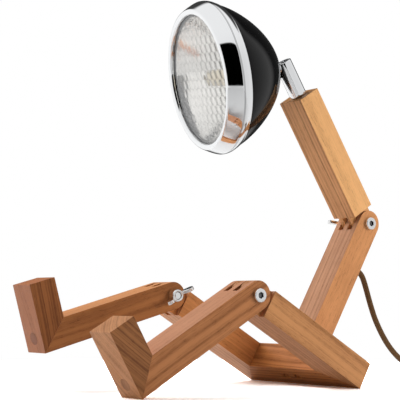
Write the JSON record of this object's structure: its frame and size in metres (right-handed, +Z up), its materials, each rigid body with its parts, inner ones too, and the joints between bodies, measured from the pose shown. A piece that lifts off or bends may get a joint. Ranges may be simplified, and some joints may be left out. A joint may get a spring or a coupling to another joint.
{
  "type": "desk lamp",
  "caption": "Wooden desk lamp shaped like a seated figure, with hinged legs and waist, a turning neck and a chrome-rimmed headlamp for a head",
  "frame": {"origin": "on the table, under the centre of the lamp's bounding box with the free cord left out", "axes": "+Z up, the lamp faces -Y, its own left side is +X"},
  "size_m": [0.1908, 0.6074, 0.3898],
  "materials": {
    "wood": "oiled ash with straight grain",
    "dark_wood": "oiled ash, darker board",
    "pale_wood": "plain beech dowel",
    "zinc": "zinc plated",
    "chrome": "bright chrome plate",
    "brass": "plain turned brass",
    "textile": "braided brown cord",
    "brown_plastic": "smooth moulded",
    "dark_plastic": "matte",
    "black_lacquer": "high gloss black lacquer",
    "lens_glass": "clear fluted glass",
    "bulb_glass": "frosted glass",
    "gasket": "matte rubber",
    "reflector": "polished aluminium",
    "spring_steel": "plain spring steel",
    "ceramic": "glazed ceramic"
  },
  "bodies": {
    "pelvis": {"hip_beam": "wood", "left_thigh": "wood", "right_thigh": "wood", "mitre_dowels": "pale_wood", "lower_torso": "wood", "torso_screws": "zinc", "waist_bolt": "chrome", "cord_gland": "brown_plastic", "lower_lead": "textile", "cord_lead": "textile", "cord_middle": "textile", "cord_coil": "textile", "cord_tail": "textile", "cord_tie": "dark_plastic", "switch_base": "brown_plastic", "switch_cover": "brown_plastic", "plug_body": "brown_plastic", "plug_pins": "brass"},
    "waist_nut": {"waist_wing_nut": "chrome"},
    "left_lower_leg": {"left_shin": "wood", "left_foot": "dark_wood", "left_foot_screw": "zinc", "left_foot_plug": "dark_wood", "left_knee_bolt": "chrome"},
    "left_knee_nut": {"left_knee_wing_nut": "chrome"},
    "right_lower_leg": {"right_shin": "wood", "right_foot": "dark_wood", "right_foot_screw": "zinc", "right_foot_plug": "dark_wood", "right_knee_bolt": "chrome"},
    "right_knee_nut": {"right_knee_wing_nut": "chrome"},
    "chest": {"upper_torso": "wood", "upper_lead": "textile", "neck_nipple": "brass", "neck_locknut": "brass"},
    "neck": {"neck_tube": "chrome", "neck_bush": "brass", "neck_cap": "chrome", "tilt_pin": "chrome"},
    "head": {"swivel_eye": "chrome", "head_washer": "chrome", "head_nut": "brass", "head_lead": "textile", "head_shell": "black_lacquer", "rim": "chrome", "lens": "lens_glass", "lens_gasket": "gasket", "reflector": "reflector", "reflector_clips": "spring_steel", "lampholder": "ceramic", "bulb_base": "ceramic", "bulb": "bulb_glass"},
    "rocker": {"switch_rocker": "brown_plastic"}
  },
  "joints": [
    {"name": "left_knee", "type": "hinge", "parent": "pelvis", "child": "left_lower_leg", "pos_m": [0.07193, -0.02925, 0.09098], "axis": [1, 0, 0], "range_deg": [-95, 29]},
    {"name": "right_knee", "type": "hinge", "parent": "pelvis", "child": "right_lower_leg", "pos_m": [-0.06707, -0.02925, 0.09098], "axis": [1, 0, 0], "range_deg": [-80, 44]},
    {"name": "waist", "type": "hinge", "parent": "pelvis", "child": "chest", "pos_m": [0.00243, 0.17739, 0.16889], "axis": [1, 0, 0], "range_deg": [-123, 27]},
    {"name": "neck_turn", "type": "hinge", "parent": "chest", "child": "neck", "pos_m": [0.00243, 0.09303, 0.3013], "axis": [0, -0.5373, 0.8434], "range_deg": [-136, 164]},
    {"name": "head_tilt", "type": "hinge", "parent": "neck", "child": "head", "pos_m": [0.00243, 0.07492, 0.32973], "axis": [0.9703, -0.204, -0.13], "range_deg": [-60, 18]},
    {"name": "left_knee_clamp", "type": "hinge", "parent": "left_lower_leg", "child": "left_knee_nut", "pos_m": [0.05463, -0.02925, 0.09098], "axis": [-1, 0, 0], "range_deg": [-180, 180]},
    {"name": "right_knee_clamp", "type": "hinge", "parent": "right_lower_leg", "child": "right_knee_nut", "pos_m": [-0.04977, -0.02925, 0.09098], "axis": [1, 0, 0], "range_deg": [-180, 180]},
    {"name": "waist_clamp", "type": "hinge", "parent": "pelvis", "child": "waist_nut", "pos_m": [-0.01487, 0.17739, 0.16889], "axis": [-1, 0, 0], "range_deg": [-180, 180]},
    {"name": "switch_press", "type": "hinge", "parent": "pelvis", "child": "rocker", "pos_m": [0.00243, 0.30863, 0.016], "axis": [1, 0, 0], "range_deg": [-12, 0]}
  ]
}
